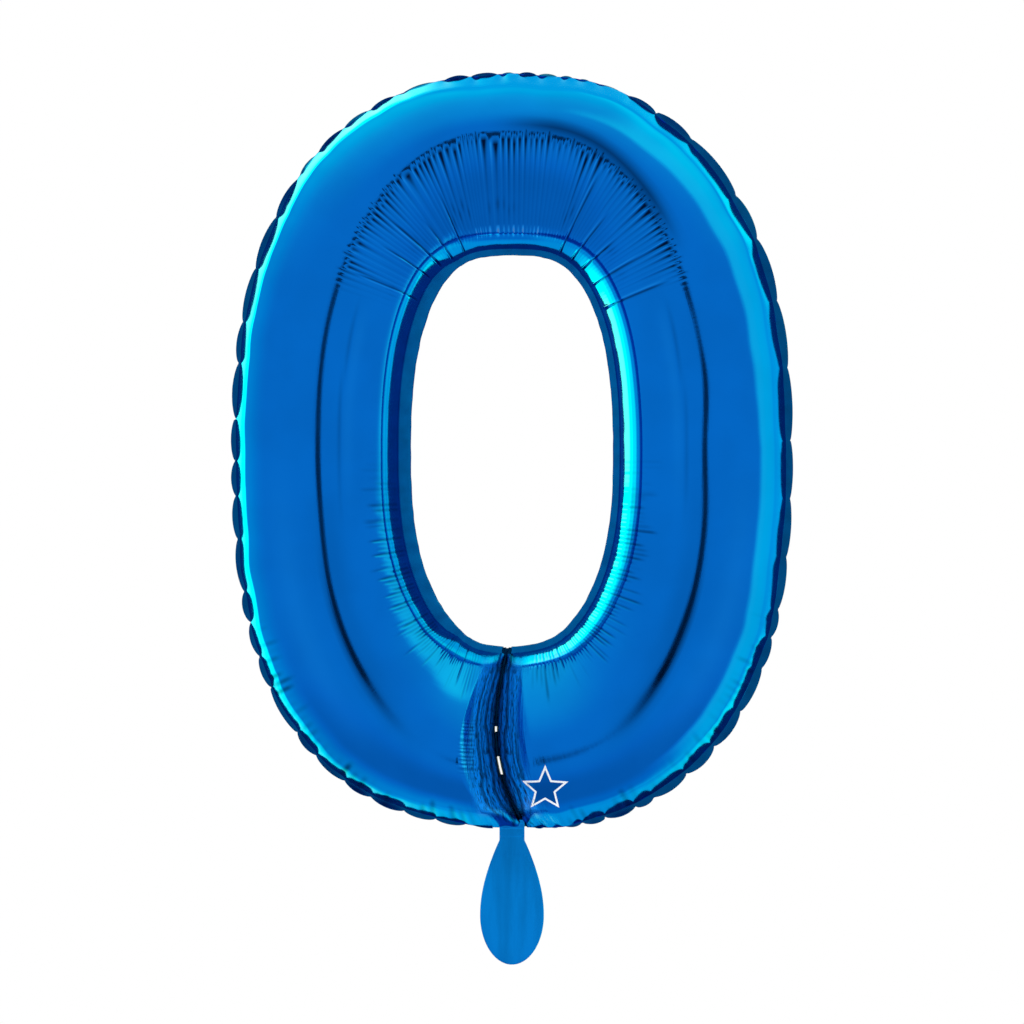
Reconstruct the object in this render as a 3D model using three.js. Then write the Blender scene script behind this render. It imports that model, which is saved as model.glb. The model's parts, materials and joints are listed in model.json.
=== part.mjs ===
// Foil number balloon in the shape of a "0": a flat C-shaped envelope of two metallised films,
// heat-sealed round its edges and blown up into a tube. The tube's two closed ends meet at the
// bottom of the ring and are tied to each other by short welds, with small slots left between them.
// A flat neck hangs from the left end's bottom corner. It holds a one-way valve of two thin films,
// and ends in a tail whose two loose leaves are the filling mouth.
//
// Millimetres. +Z up, +X to the right as seen from the front, and the front faces -Y.
// The origin is the root of the neck, where the ring's bottom edge meets it, midway between films.
// Films are drawn thicker than they are, so that each is a solid with a wall that can be made.

import * as THREE from "three";

// ---- Driving dimensions ----

// Ring, as seen from the front. A stroke is the tube's width from seam edge to seam edge.
const ringWidth = 642;
const ringHeight = 864;
const strokeWidth = 206;
const strokeTaper = 4; // the top stroke is wider than the side strokes by this, the bottom one narrower
const topSquareness = 2.48; // exponent of the centre line's upper half: 2 is an ellipse, more is squarer
const bottomSquareness = 2.53;
const shoulderSwell = 20; // extra stroke width at the two lower shoulders
const shoulderDistance = 164; // from the slit to the shoulder, along the centre line
const shoulderSpread = 145; // over which the swelling fades
const tubeDepth = 175; // front to back, blown up

// Seams and slit
const outerSeamWidth = 12;
const innerSeamWidth = 8;
const endSeamWidth = 3;
const seamThickness = 1.2;
const filmLap = 1; // how far a film's edge reaches over the seam's root
const slitGap = 4; // between the two ends' seams
const weldGap = 0.6; // between a weld's edges and the seams it ties
const slitFoot = 17; // how far right of the neck the slit comes out at the bottom edge
const slitLean = 22; // how far left of its foot the slit's top lies
const slitBow = 24.5; // how far the slit bows to the left between its foot and its top
const slitBowSkew = 0.85; // below 1, the bow is deepest below the slit's middle
const slitReach = 75; // how far along the tube the slit's curve still bends the sections
const endRounding = 45; // length over which a closed end grows to the full depth

// Welds that tie the two ends together, as shares of the slit's height from its foot
const weldSpans = {
  join_weld_lower: [0.015, 0.29],
  join_weld_middle: [0.4, 0.525],
  join_weld_upper: [0.565, 0.985],
};

// Films
const filmWall = 0.6;
const valveWall = 0.4;
const layerGap = 0.3; // between any two layers or neighbours
const valveLength = 105; // up the inside of the left end
const valveSlitClearance = 2.5; // between the valve and the left end's seam
const valveNeckClearance = 2; // between the valve and the neck's left edge
const valveSealWidth = 2;
const valveRootGap = 2; // the valve's lower edge above the bottom edge
const inkPatchHeight = 9;
const inkThickness = 0.4;
const crossSealHeight = 4;
const crossSealThickness = 0.4;
const crossSealRise = 4; // its lower edge above the bottom edge
const throatRamp = 25; // along the seam, over which the film's edge rises to clear the valve
const throatLiftShare = 0.3; // of the way across the tube, over which that rise fades

// Neck and tail
const neckWidth = 28.6;
const neckLength = 14;
const sideSealWidth = 3;
const foldGap = 4; // free film between the ring's bottom edge and the neck
const twistGap = 1; // between the neck and the tail
const tailWidth = 73;
const tailLength = 157; // from the bottom edge to the tail's tip
const tailWidest = 100; // how far below the bottom edge the tail is widest
const tailSealedLength = 45; // from the bottom edge to where the two leaves part
const leafGap = 1.5; // between the sealed tail and the leaves
const leafTipWidth = 4;
const tailFlare = 0.93; // exponent of the wave that widens the tail: below 1, it widens sooner

// Fineness of the curved surfaces
const lengthSteps = 52;
const endSteps = 6;
const acrossSteps = 10;
const centreSamples = 720;
const riseStep = 4;
const minStep = 0.5;
const tailStep = 5;
const tipSteps = 12;
const neckSearchShare = 0.125; // of the centre line, within which the neck's left edge is looked for
const neckSearchRounds = 40;

// ---- Materials ----

const foil = { color: 0x0064be, metalness: 1, roughness: 0.16 };
const seam = { color: 0x00407a, metalness: 1, roughness: 0.3 };
const tailFoil = { color: 0x0070c0, metalness: 1, roughness: 0.35 };
const clearFilm = { color: 0xdfe8ee, metalness: 0, roughness: 0.25, transparent: true, opacity: 0.5 };
const ink = { color: 0x2c3036, metalness: 0, roughness: 0.8 };

// ---- The ring's centre line ----

const halfStroke = strokeWidth / 2;
const centreHalfWidth = (ringWidth - strokeWidth) / 2;
const centreHalfHeight = (ringHeight - strokeWidth - footSwell()) / 2;
const centreHeight = centreHalfHeight + halfStroke + footSwell() - strokeTaper / 2;
const centreLine = sampledCentreLine();
const centreLength = centreLine.at(-1).arc;

// Half of the shoulders' swelling that is left at the slit
function footSwell() {
  return shoulderSwell * Math.exp(-((shoulderDistance / shoulderSpread) ** 2)) / 2;
}

// A superellipse by its polar angle, walked from its foot to the right, over the top and back
function sampledCentreLine() {
  const samples = [];
  let arc = 0;
  for (let i = 0; i <= centreSamples; i++) {
    const angle = -Math.PI / 2 + (2 * Math.PI * i) / centreSamples;
    const power = Math.sin(angle) > 0 ? topSquareness : bottomSquareness;
    const alongX = Math.abs(Math.cos(angle) / centreHalfWidth) ** power;
    const alongZ = Math.abs(Math.sin(angle) / centreHalfHeight) ** power;
    const radius = (alongX + alongZ) ** (-1 / power);
    const x = radius * Math.cos(angle);
    const z = radius * Math.sin(angle);
    const normalX = (Math.sign(x) * Math.abs(x / centreHalfWidth) ** (power - 1)) / centreHalfWidth;
    const normalZ = (Math.sign(z) * Math.abs(z / centreHalfHeight) ** (power - 1)) / centreHalfHeight;
    const length = Math.hypot(normalX, normalZ);
    const before = samples.at(-1);
    if (before) arc += Math.hypot(x - before.x, z - before.z);
    samples.push({ arc, x, z, normalX: normalX / length, normalZ: normalZ / length });
  }
  return samples;
}

// The centre line's point and outward normal at an arc length from its foot
function centreAt(arc) {
  let high = centreLine.findIndex((sample) => sample.arc >= arc);
  if (high < 1) high = high < 0 ? centreSamples : 1;
  const a = centreLine[high - 1];
  const b = centreLine[high];
  const share = (arc - a.arc) / (b.arc - a.arc);
  const mix = (key) => a[key] + (b[key] - a[key]) * share;
  return { x: mix("x"), z: mix("z"), normalX: mix("normalX"), normalZ: mix("normalZ") };
}

const fromSlit = (arc) => Math.min(arc, centreLength - arc);

function strokeAt(arc) {
  const swell = shoulderSwell * Math.exp(-(((fromSlit(arc) - shoulderDistance) / shoulderSpread) ** 2));
  return strokeWidth + swell + (strokeTaper * centreAt(arc).z) / centreHalfHeight;
}

// The slit's place to the side of the ring's middle, at a share of its height from its foot
function slitSide(share) {
  const up = Math.min(Math.max(share, 0), 1);
  return slitFoot - slitLean * up - slitBow * Math.sin(Math.PI * up ** slitBowSkew);
}

// A point of the ring's plane: an arc length along the centre line, and an offset out of it.
// Near the slit, the sections bend with its curve.
function ringPoint(arc, offset) {
  const centre = centreAt(arc);
  const share = 0.5 - offset / strokeAt(arc);
  const bend = slitSide(share) * Math.exp(-((fromSlit(arc) / slitReach) ** 2));
  return new THREE.Vector2(
    centre.x + centre.normalX * offset + bend,
    centreHeight + centre.z + centre.normalZ * offset,
  );
}

// ---- Places that pieces share ----

// Arc lengths from the slit's middle
const endSeamStart = slitGap / 2;
const endSeamEnd = endSeamStart + endSeamWidth;
const seamStart = endSeamEnd + layerGap;
const filmStart = endSeamEnd - filmLap;
const filmArcs = stations(filmStart, centreLength - filmStart);
const neckArc = centreLength - arcLeftOfSlit(-neckWidth / 2);
const riseMarks = Array.from({ length: Math.ceil(strokeWidth / riseStep) * 2 }, (_, i) => i * riseStep);

// Layers at the throat, out from the middle plane: ink, valve film, cross seal and throat film
const halfSeam = seamThickness / 2;
const rim = halfSeam + layerGap;
const inkHalf = inkThickness / 2;
const valveNear = inkHalf + layerGap;
const valveFar = valveNear + valveWall;
const crossNear = valveFar + layerGap;
const crossFar = crossNear + crossSealThickness;
const throatNear = crossFar + layerGap;
const throatFar = throatNear + filmWall;

// How far back from the slit, along the centre line, the ring's bottom edge is at a place in X
function arcLeftOfSlit(x) {
  let near = 0;
  let far = centreLength * neckSearchShare;
  for (let i = 0; i < neckSearchRounds; i++) {
    const middle = (near + far) / 2;
    const arc = centreLength - middle;
    if (ringPoint(arc, strokeAt(arc) / 2).x > x) near = middle;
    else far = middle;
  }
  return near;
}

// ---- Solids ----

// A flat piece: an outline in X and Z, from one Y to another
function flat(outline, yFront, yBack) {
  const depth = yBack - yFront;
  const geometry = new THREE.ExtrudeGeometry(new THREE.Shape(outline), { depth, bevelEnabled: false });
  return geometry.rotateX(Math.PI / 2).translate(0, yBack, 0);
}

// Offsets of a place that lies so far in from one of the stroke's two edges
const fromOuterEdge = (arc, rise) => strokeAt(arc) / 2 - rise;
const fromInnerEdge = (arc, rise) => rise - strokeAt(arc) / 2;

// The start, the end and what a list holds between them. Neighbours that share a list share corners.
function between(list, start, end) {
  return [start, ...list.filter((value) => value > start + minStep && value < end - minStep), end];
}

// A flat patch of the ring's plane between the first and last of its arcs and of its rises.
// Its four sides follow the ring and the slit.
function ringPatch(arcs, rises, offsetOf, yFront, yBack) {
  const at = (arc, rise) => ringPoint(arc, offsetOf(arc, rise));
  const outline = [
    ...arcs.map((arc) => at(arc, rises[0])),
    ...rises.slice(1).map((rise) => at(arcs.at(-1), rise)),
    ...arcs.slice(0, -1).reverse().map((arc) => at(arc, rises.at(-1))),
    ...rises.slice(1, -1).reverse().map((rise) => at(arcs[0], rise)),
  ];
  return flat(outline, yFront, yBack);
}

// Arc lengths of a film's sections: close together where its ends round off
function stations(start, end) {
  const arcs = [];
  for (let i = 0; i < endSteps; i++) {
    arcs.push(start + endRounding * (1 - Math.cos((Math.PI / 2) * (i / endSteps))));
  }
  const first = start + endRounding;
  const last = end - endRounding;
  for (let i = 0; i <= lengthSteps; i++) arcs.push(first + ((last - first) * i) / lengthSteps);
  for (let i = endSteps - 1; i >= 0; i--) arcs.push(start + end - arcs[i]);
  return arcs;
}

// How far a film's edge stands off the middle plane: clear of the seam, and at the neck's root
// clear of the valve that passes under it
function edgeStandOff(arc, share) {
  const ramp = (arc - (neckArc - throatRamp)) / throatRamp;
  const lift = (throatNear - rim) * Math.min(Math.max(ramp, 0), 1);
  return rim + lift * Math.max(0, 1 - share / throatLiftShare);
}

// One face of a blown-up film: rows of points along the tube, each half an ellipse across it.
// The inset draws the inner face inside the outer one. The side is -1 in front and 1 behind.
function filmFace(inset, side) {
  const start = filmStart + inset;
  const end = centreLength - start;
  return stations(start, end).map((arc) => {
    const outer = strokeAt(arc) / 2 - outerSeamWidth + filmLap - inset;
    const inner = strokeAt(arc) / 2 - innerSeamWidth + filmLap - inset;
    const fromEnd = Math.min(arc - start, end - arc, endRounding);
    const grown = Math.sqrt(Math.max(0, 1 - (1 - fromEnd / endRounding) ** 2));
    const row = [];
    for (let j = 0; j <= acrossSteps; j++) {
      const angle = (Math.PI * j) / acrossSteps;
      const point = ringPoint(arc, (outer - inner) / 2 + ((outer + inner) / 2) * Math.cos(angle));
      const bulge = (tubeDepth / 2 - inset - rim) * grown * Math.sin(angle);
      const depth = edgeStandOff(arc, j / acrossSteps) + bulge;
      row.push(new THREE.Vector3(point.x, side * depth, point.y));
    }
    return row;
  });
}

// A closed solid between an outer and an inner face of the same grid
function shell(outerRows, innerRows) {
  const rows = outerRows.length;
  const columns = outerRows[0].length;
  const points = [...outerRows.flat(), ...innerRows.flat()];
  const outerAt = (i, j) => i * columns + j;
  const innerAt = (i, j) => (rows + i) * columns + j;
  const triangles = [];
  const quad = (a, b, c, d) => triangles.push(a, b, c, a, c, d);
  for (let i = 0; i < rows - 1; i++) {
    for (let j = 0; j < columns - 1; j++) {
      quad(outerAt(i, j), outerAt(i + 1, j), outerAt(i + 1, j + 1), outerAt(i, j + 1));
      quad(innerAt(i, j + 1), innerAt(i + 1, j + 1), innerAt(i + 1, j), innerAt(i, j));
    }
    quad(innerAt(i, 0), innerAt(i + 1, 0), outerAt(i + 1, 0), outerAt(i, 0));
    const last = columns - 1;
    quad(outerAt(i, last), outerAt(i + 1, last), innerAt(i + 1, last), innerAt(i, last));
  }
  for (let j = 0; j < columns - 1; j++) {
    quad(outerAt(0, j), outerAt(0, j + 1), innerAt(0, j + 1), innerAt(0, j));
    const last = rows - 1;
    quad(innerAt(last, j), innerAt(last, j + 1), outerAt(last, j + 1), outerAt(last, j));
  }
  return facingOut(points, triangles);
}

// A geometry whose triangles face out: all are turned round if they enclose a negative volume
function facingOut(points, triangles) {
  let volume = 0;
  const cross = new THREE.Vector3();
  for (let i = 0; i < triangles.length; i += 3) {
    const [a, b, c] = triangles.slice(i, i + 3).map((index) => points[index]);
    volume += a.dot(cross.crossVectors(b, c));
  }
  const index = volume < 0 ? triangles.reverse() : triangles;
  return new THREE.BufferGeometry().setFromPoints(points).setIndex(index);
}

// ---- Bodies: what moves as one, each about its own pivot ----

const balloon = new THREE.Group();
const neck = bodyAt(balloon, -foldGap / 2);
const tail = bodyAt(neck, -neckLength - twistGap / 2);
const frontLeaf = bodyAt(tail, -tailSealedLength - leafGap / 2);
const backLeaf = bodyAt(tail, -tailSealedLength - leafGap / 2);

function bodyAt(parent, height) {
  const group = new THREE.Group();
  group.position.z = height;
  group.updateMatrixWorld(true);
  balloon.updateMatrixWorld(true);
  parent.attach(group);
  return group;
}

// Geometry is drawn in the whole part's frame, and then carried by its body's group
function add(body, name, geometry, finish) {
  const mesh = new THREE.Mesh(geometry, new THREE.MeshStandardMaterial(finish));
  mesh.name = name;
  balloon.updateMatrixWorld(true);
  body.attach(mesh);
}

// ---- Envelope ----

function addEnvelope() {
  add(balloon, "front_film", shell(filmFace(0, -1), filmFace(filmWall, -1)), foil);
  add(balloon, "back_film", shell(filmFace(0, 1), filmFace(filmWall, 1)), foil);
  const seamOf = (arcs, width, offsetOf) =>
    ringPatch(arcs, between(riseMarks, 0, width), offsetOf, -halfSeam, halfSeam);
  const outerArcs = between(filmArcs, seamStart, neckArc - layerGap);
  add(balloon, "outer_seam", seamOf(outerArcs, outerSeamWidth, fromOuterEdge), seam);
  const innerArcs = between(filmArcs, seamStart, centreLength - seamStart);
  add(balloon, "inner_seam", seamOf(innerArcs, innerSeamWidth, fromInnerEdge), seam);
}

function addSlit() {
  const height = strokeAt(0);
  const rises = between(riseMarks, 0, height);
  const right = [endSeamStart, endSeamEnd];
  const left = right.map((arc) => centreLength - arc).reverse();
  add(balloon, "right_end_seam", ringPatch(right, rises, fromOuterEdge, -halfSeam, halfSeam), seam);
  add(balloon, "left_end_seam", ringPatch(left, rises, fromOuterEdge, -halfSeam, halfSeam), seam);
  for (const [name, [from, to]] of Object.entries(weldSpans)) {
    const weldRises = between(riseMarks, from * height, to * height);
    add(balloon, name, flat(weldOutline(weldRises), -halfSeam, halfSeam), seam);
  }
}

// A weld fills the slit from one end's seam to the other's
function weldOutline(rises) {
  const side = endSeamStart - weldGap;
  const edge = (shift) => (rise) => {
    const middle = ringPoint(0, fromOuterEdge(0, rise));
    return new THREE.Vector2(middle.x + shift, middle.y);
  };
  return [...rises.map(edge(side)), ...rises.map(edge(-side)).reverse()];
}

// ---- Valve and throat ----

function addValve() {
  const right = centreLength - endSeamEnd - valveSlitClearance;
  const left = neckArc + valveNeckClearance;
  const top = valveRootGap + valveLength;
  const inkTop = valveRootGap + inkPatchHeight;
  const piece = (arcStart, arcEnd, from, to, yFront, yBack) =>
    ringPatch([arcStart, arcEnd], between(riseMarks, from, to), fromOuterEdge, yFront, yBack);
  add(balloon, "valve_front_film", piece(left, right, valveRootGap, top, -valveFar, -valveNear), clearFilm);
  add(balloon, "valve_back_film", piece(left, right, valveRootGap, top, valveNear, valveFar), clearFilm);
  const sealStart = inkTop + layerGap;
  const seal = (arc) => piece(arc, arc + valveSealWidth, sealStart, top, -inkHalf, inkHalf);
  add(balloon, "valve_left_seal", seal(left), clearFilm);
  add(balloon, "valve_right_seal", seal(right - valveSealWidth), clearFilm);
  add(balloon, "valve_ink_patch", piece(left, right, valveRootGap, inkTop, -inkHalf, inkHalf), ink);
}

function addThroat() {
  const arcs = between(filmArcs, neckArc + layerGap, centreLength - endSeamEnd - layerGap);
  const film = (from, to, yFront, yBack) =>
    ringPatch(arcs, between(riseMarks, from, to), fromOuterEdge, yFront, yBack);
  const top = outerSeamWidth - filmLap - layerGap;
  add(balloon, "throat_front_film", film(0, top, -throatFar, -throatNear), foil);
  add(balloon, "throat_back_film", film(0, top, throatNear, throatFar), foil);
  const sealTop = crossSealRise + crossSealHeight;
  add(balloon, "neck_cross_seal_front", film(crossSealRise, sealTop, -crossFar, -crossNear), seam);
  add(balloon, "neck_cross_seal_back", film(crossSealRise, sealTop, crossNear, crossFar), seam);
}

// ---- Neck and tail ----

// Half the width of the neck and tail at a depth below the bottom edge: straight down the neck,
// a quarter wave out to the widest place, and half an ellipse to the tip
function tailHalfWidth(below) {
  const wide = tailWidth / 2;
  if (below <= neckLength) return neckWidth / 2;
  if (below < tailWidest) {
    const share = (below - neckLength) / (tailWidest - neckLength);
    return neckWidth / 2 + (wide - neckWidth / 2) * Math.sin((Math.PI / 2) * share) ** tailFlare;
  }
  const share = (below - tailWidest) / (tailLength - tailWidest);
  return wide * Math.sqrt(Math.max(0, 1 - share ** 2));
}

const layerNear = layerGap / 2;
const layerFar = layerNear + filmWall;
const tailMarks = Array.from({ length: Math.ceil(tailLength / tailStep) }, (_, i) => i * tailStep);

// A strip of the neck or tail, between two sides that are each a function of the depth
function tailStrip(depths, sideA, sideB, yFront, yBack) {
  const edge = (side) => (below) => new THREE.Vector2(side(below), -below);
  return flat([...depths.map(edge(sideA)), ...depths.map(edge(sideB)).reverse()], yFront, yBack);
}

const sealRoot = (below) => tailHalfWidth(below) - sideSealWidth;
const filmEdge = (below) => sealRoot(below) - layerGap;
const minus = (side) => (below) => -side(below);

// Two films between two side seals, all four with the same top and bottom
function addSealedLength(body, prefix, top, bottom) {
  const depths = between(tailMarks, top, bottom);
  const film = (yFront, yBack) => tailStrip(depths, minus(filmEdge), filmEdge, yFront, yBack);
  const seal = (sideA, sideB) => tailStrip(depths, sideA, sideB, -layerFar, layerFar);
  add(body, `${prefix}_front_film`, film(-layerFar, -layerNear), tailFoil);
  add(body, `${prefix}_back_film`, film(layerNear, layerFar), tailFoil);
  add(body, `${prefix}_left_seal`, seal(minus(tailHalfWidth), minus(sealRoot)), tailFoil);
  add(body, `${prefix}_right_seal`, seal(sealRoot, tailHalfWidth), tailFoil);
}

// A leaf is the full width of the tail. Its depths follow the ellipse's angle round the tip.
function leafDepths() {
  const depths = between(tailMarks, tailSealedLength + leafGap, tailWidest);
  const lastAngle = Math.acos(leafTipWidth / tailWidth);
  for (let i = 1; i <= tipSteps; i++) {
    depths.push(tailWidest + (tailLength - tailWidest) * Math.sin((lastAngle * i) / tipSteps));
  }
  return depths;
}

function addNeckAndTail() {
  addSealedLength(neck, "neck", foldGap, neckLength);
  addSealedLength(tail, "tail", neckLength + twistGap, tailSealedLength);
  const leaf = (yFront, yBack) =>
    tailStrip(leafDepths(), minus(tailHalfWidth), tailHalfWidth, yFront, yBack);
  add(frontLeaf, "front_leaf", leaf(-layerFar, -layerNear), tailFoil);
  add(backLeaf, "back_leaf", leaf(layerNear, layerFar), tailFoil);
}

addEnvelope();
addSlit();
addValve();
addThroat();
addNeckAndTail();

export default balloon;
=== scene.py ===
"""Foil number balloon "0": its looks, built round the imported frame.

The ring is one tube of two metallised films that is bent into a C, with its two closed ends tied to
each other along a slit. Every film here is a numpy grid: arc lengths along the tube's centre line one
way, and the way across the tube the other. The frame gives the ring's size, depth and height, the
neck's and the tail's places, and the two ends' seams.
"""

import json
import math

import bpy
import numpy as np
from bpy.props import FloatProperty, FloatVectorProperty, IntProperty, PointerProperty
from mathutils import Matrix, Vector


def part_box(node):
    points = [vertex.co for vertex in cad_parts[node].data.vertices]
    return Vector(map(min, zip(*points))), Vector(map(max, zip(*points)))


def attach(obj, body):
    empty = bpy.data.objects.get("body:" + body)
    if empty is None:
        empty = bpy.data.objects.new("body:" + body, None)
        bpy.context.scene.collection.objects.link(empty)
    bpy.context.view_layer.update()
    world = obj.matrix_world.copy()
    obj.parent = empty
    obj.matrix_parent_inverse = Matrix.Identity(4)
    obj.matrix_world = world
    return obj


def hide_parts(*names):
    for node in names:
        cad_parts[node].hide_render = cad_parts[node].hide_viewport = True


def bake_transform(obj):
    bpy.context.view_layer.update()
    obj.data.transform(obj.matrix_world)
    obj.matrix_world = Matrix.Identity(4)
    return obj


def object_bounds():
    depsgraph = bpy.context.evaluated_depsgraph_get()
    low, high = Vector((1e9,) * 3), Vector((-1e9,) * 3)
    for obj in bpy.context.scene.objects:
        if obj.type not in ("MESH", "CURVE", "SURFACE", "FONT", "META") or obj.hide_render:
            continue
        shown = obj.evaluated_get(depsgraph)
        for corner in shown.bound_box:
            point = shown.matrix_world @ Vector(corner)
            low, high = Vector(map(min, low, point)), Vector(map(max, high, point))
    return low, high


bl_info = {
    "name": "Foil Number Balloon",
    "version": (1, 0, 0),
    "blender": (4, 5, 0),
    "location": "3D View > Sidebar > Balloon",
    "description": "Builds the films, seams, valve and tail of a foil number balloon on its frame",
    "category": "Add Mesh",
}

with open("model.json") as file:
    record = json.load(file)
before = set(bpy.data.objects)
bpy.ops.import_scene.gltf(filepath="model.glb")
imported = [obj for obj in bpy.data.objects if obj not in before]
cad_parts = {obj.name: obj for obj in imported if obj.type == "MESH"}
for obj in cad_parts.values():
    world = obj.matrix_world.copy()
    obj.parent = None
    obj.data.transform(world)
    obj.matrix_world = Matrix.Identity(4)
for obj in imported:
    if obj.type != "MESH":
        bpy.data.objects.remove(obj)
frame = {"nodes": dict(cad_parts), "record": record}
FRAME_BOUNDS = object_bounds()

# Thickness of a sealed edge's sheet and of the tail's, in metres.
SEAM_SHEET = 0.0003
TAIL_SHEET = 0.0002
# Added to the seed for the back film, so that its wrinkles differ from the front's.
BACK_SEED = 500
# Painted shade of a pucker: how much darker it is painted for each metre of its depth.
PUCKER_SHADE_PER_METRE = 1300.0
FLOOR_POINTS = 9


def node_size(node, axis):
    """The length of a frame node along an axis: 0 is X, 1 is Y, 2 is Z."""
    low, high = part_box(node)
    return high[axis] - low[axis]


# ---- Settings ----


def length(label, text, default, low=0.0, high=10.0):
    """A length in metres that a user can change."""
    return FloatProperty(
        name=label, description=text, default=default, min=low, max=high, precision=5, unit="LENGTH"
    )


def number(label, text, default, low=0.0, high=100.0):
    """A plain number that a user can change."""
    return FloatProperty(name=label, description=text, default=default, min=low, max=high, precision=4)


def colour(label, text, default):
    """A linear colour that a user can change."""
    return FloatVectorProperty(
        name=label, description=text, default=default, size=3, min=0.0, max=1.0, subtype="COLOR"
    )


class RingSettings(bpy.types.PropertyGroup):
    """The ring as its outline, its stroke and its depth."""

    width: length("Width", "Ring from side to side, seams included", node_size("outer_seam", 0))
    height: length("Height", "Ring from bottom edge to top edge", 0.864)
    stroke: length("Stroke", "Tube's width in front, seams included", 0.206)
    stroke_taper: length("Stroke taper", "Extra stroke at the top, and less of it at the bottom", 0.004)
    top_squareness: number("Top squareness", "Superellipse exponent of the upper half", 2.48, 1.5, 6.0)
    bottom_squareness: number("Bottom squareness", "Superellipse exponent of the lower half", 2.53, 1.5, 6.0)
    shoulder_swell: length("Shoulder swell", "Extra stroke at the lower shoulders", 0.020)
    shoulder_distance: length("Shoulder distance", "From the slit to a shoulder", 0.164)
    shoulder_spread: length("Shoulder spread", "Length over which the swell fades", 0.145)
    half_depth: length("Half depth", "From the seam's plane to the front", -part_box("front_film")[0].y)
    outer_seam: length("Outer seam", "Width of the sealed edge outside", 0.012)
    inner_seam: length("Inner seam", "Width of the sealed edge round the hole", 0.008)
    end_seam: length("End seam", "Width of the sealed edge at each end", 0.003)
    slit_gap: length("Slit gap", "Between the two ends' seams", 0.004)
    slit_foot: length("Slit foot", "How far right the slit leaves the bottom edge", 0.017)
    slit_lean: length("Slit lean", "How far left of its foot the slit's top lies", 0.022)
    slit_bow: length("Slit bow", "How far the slit bows to the left", 0.0245)
    slit_bow_skew: number("Slit bow skew", "Below 1 the bow is deepest low down", 0.85, 0.3, 2.0)
    slit_reach: length("Slit reach", "How far the slit still bends the sections", 0.075)
    right_end: length("Right end", "Length over which the right end fills out at the slit's ends", 0.012)
    right_end_extra: length("Right end, middle", "And how much more halfway up the slit", 0.022)
    left_end: length("Left end", "Length over which the left end fills out at the slit's ends", 0.016)
    left_end_extra: length("Left end, middle", "And how much more halfway up the slit", 0.030)
    film_start: length("Film start", "From the slit's line to where each film starts", 0.0010)
    film_lap: length("Film lap", "How far the blown-up film hangs over the outer sealed edge", 0.006)
    left_inner_seam: length("Left inner seam", "Sealed edge that shows on the hole's left side", 0.0155)
    end_taper: number("End taper", "How fast the crest falls towards each closed end", 0.055, 0.0, 0.3)
    end_reach: length("End reach", "How far from the slit the crest starts to fall", 0.190)
    crest_offset: length("Crest offset", "Crest's place out of the centre line on the sides", 0.002, -0.1)
    crest_rise: length("Crest rise", "How much further out it lies at the top and bottom", 0.029)


class PleatSettings(bpy.types.PropertyGroup):
    """The folds that the films take where the flat sheet has to bend."""

    seed: IntProperty(name="Seed", description="Seed of all random draws", default=7, min=0)
    pitch: length("Pleat pitch", "From one fine pleat to the next", 0.0066)
    height: length("Pleat height", "Depth of a fine pleat at the crest", 0.0013)
    reach: length("Pleat reach", "How far a fine pleat runs in from the crest", 0.036)
    window: length("Pleat window", "Half of the arch that is pleated", 0.275)
    scallop_short: length("Short scallop", "Scallop length where the outline bends", 0.027)
    scallop_long: length("Long scallop", "Scallop length where it runs straight", 0.044)
    scallop_right: number("Right scallops", "Right side's scallops against the left's, in the bends", 0.62)
    scallop_right_long: number("Long right scallops", "The same where the right side runs straight", 1.7)
    scallop_depth: length("Scallop depth", "How far a cusp is drawn in", 0.0055)
    scallop_curl: length("Scallop curl", "How far a scallop stands out of the plane", 0.004)


class ColourSettings(bpy.types.PropertyGroup):
    """The finishes' colours, with the colours of painted shade and painted highlight."""

    film: colour("Film", "Lacquered metal film", (0.002, 0.24, 0.60))
    seam: colour("Seam", "Film where it is sealed", (0.001, 0.14, 0.27))
    tail: colour("Tail", "Loose film of the tail", (0.003, 0.36, 0.68))
    valve: colour("Valve", "Clear film of the valve", (0.80, 0.86, 0.90))
    release_ink: colour("Release ink", "Ink inside the valve", (0.03, 0.03, 0.035))
    # Painted shade: stands in for the dark inside a fold and in crevices.
    fold: colour("Fold", "Film in the dark of a fold", (0.0004, 0.010, 0.035))
    # Painted highlight: stands in for light caught on the lip of a fold.
    painted_gleam: colour("Gleam", "Film on the lip of a fold", (0.02, 0.50, 0.90))
    # Painted highlight: the colour of the painted glint bands at the rim and in the hole.
    painted_glint: colour("Glint", "Film's palest bands, at the rim and in the hole", (0.12, 0.45, 0.68))
    wall: colour("Slit wall", "The film deep in the slit, where it is crumpled and dull", (0.001, 0.27, 0.92))
    mark: colour("Mark", "Printed star", (0.001, 0.15, 0.40))
    mark_edge: colour("Mark edge", "Printed star's outline", (0.92, 0.95, 1.0))
    floor: colour("Floor", "Floor", (0.86, 0.86, 0.86))


class MarkSettings(bpy.types.PropertyGroup):
    """The printed star's place and size."""

    right: length("Right", "From the ring's middle to the star's centre", 0.0372)
    up: length("Up", "From the bottom edge to the star's centre", 0.0500)
    radius: length("Radius", "From the star's centre to a tip", 0.0275)


class StageSettings(bpy.types.PropertyGroup):
    """Camera and light."""

    lens: number("Lens", "Focal length in millimetres", 135.0, 10.0, 400.0)
    view_size: length("View size", "Width of what the camera sees at the ring", 1.1706)
    view_height: length("View height", "Height of the picture's middle", 0.3612)
    floor_drop: length("Floor drop", "From the tail's tip down to the floor", 0.55)
    floor_size: length("Floor size", "Side of the square floor", 7.0)
    front_light: number("Front light", "Brightness in front", 0.56)
    side_light: number("Side light", "Brightness of the panel on the right", 1.55)
    back_light: number("Back light", "Brightness of the backdrop", 3.5)


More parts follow.
